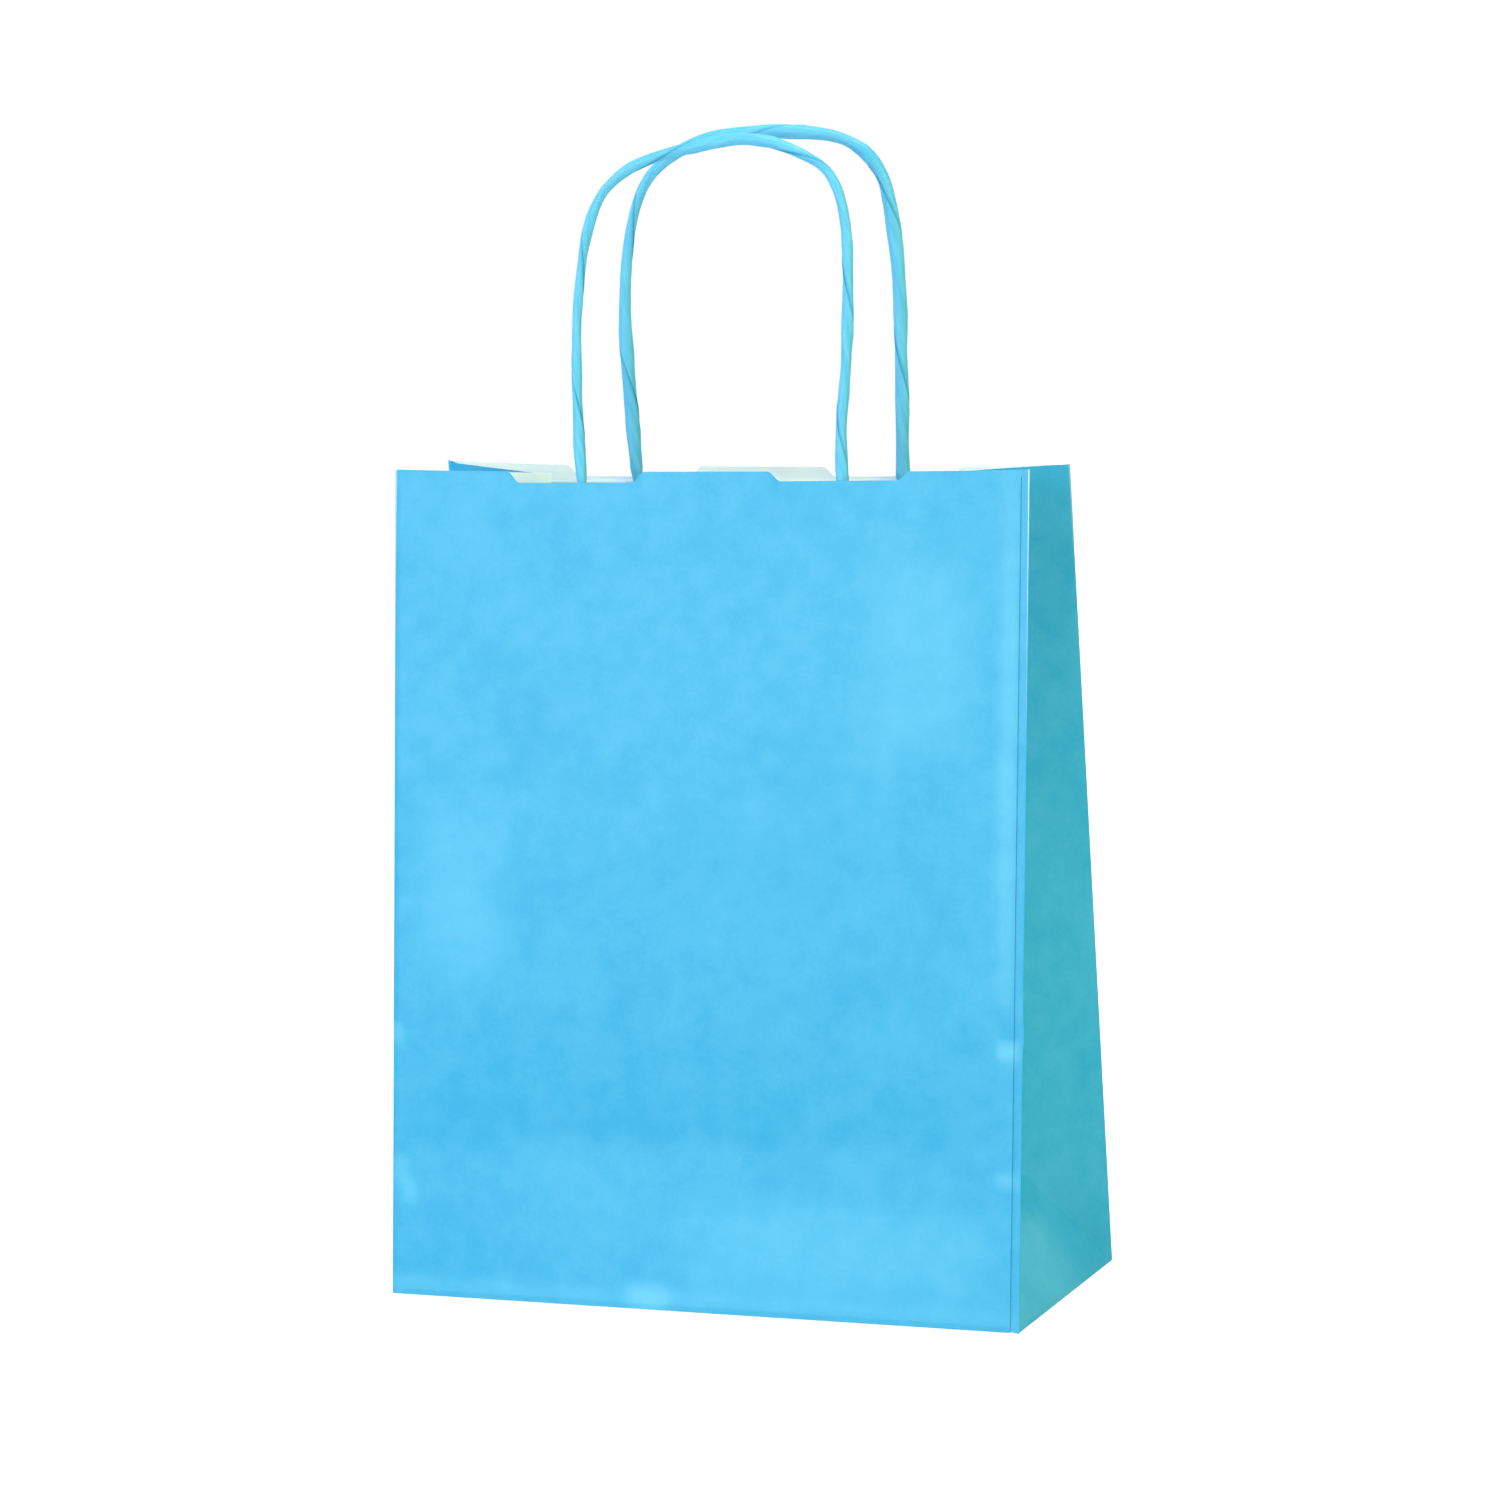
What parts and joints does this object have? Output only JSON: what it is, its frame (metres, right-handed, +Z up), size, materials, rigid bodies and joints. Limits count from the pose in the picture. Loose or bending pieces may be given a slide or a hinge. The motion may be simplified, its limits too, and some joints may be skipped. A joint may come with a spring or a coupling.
{
  "type": "kraft paper bag",
  "caption": "Upright kraft paper carrier bag with folded side gussets, a block bottom, notched rim and two twisted paper handles.",
  "frame": {"origin": "on the floor, under the middle of the bag's rectangular base", "axes": "+Z up, +X to the right along the front panel, +Y from the front panel to the back panel"},
  "size_m": [0.18, 0.085, 0.3137],
  "materials": {
    "bag_paper": "matt blue printed kraft",
    "cord_paper": "twisted blue kraft",
    "patch_paper": "plain white kraft"
  },
  "bodies": {
    "root": {"bag_body": "bag_paper", "front_handle_cord": "cord_paper", "back_handle_cord": "cord_paper", "front_patch_backing": "patch_paper", "front_patch_cover": "patch_paper", "back_patch_backing": "patch_paper", "back_patch_cover": "patch_paper"}
  },
  "joints": []
}
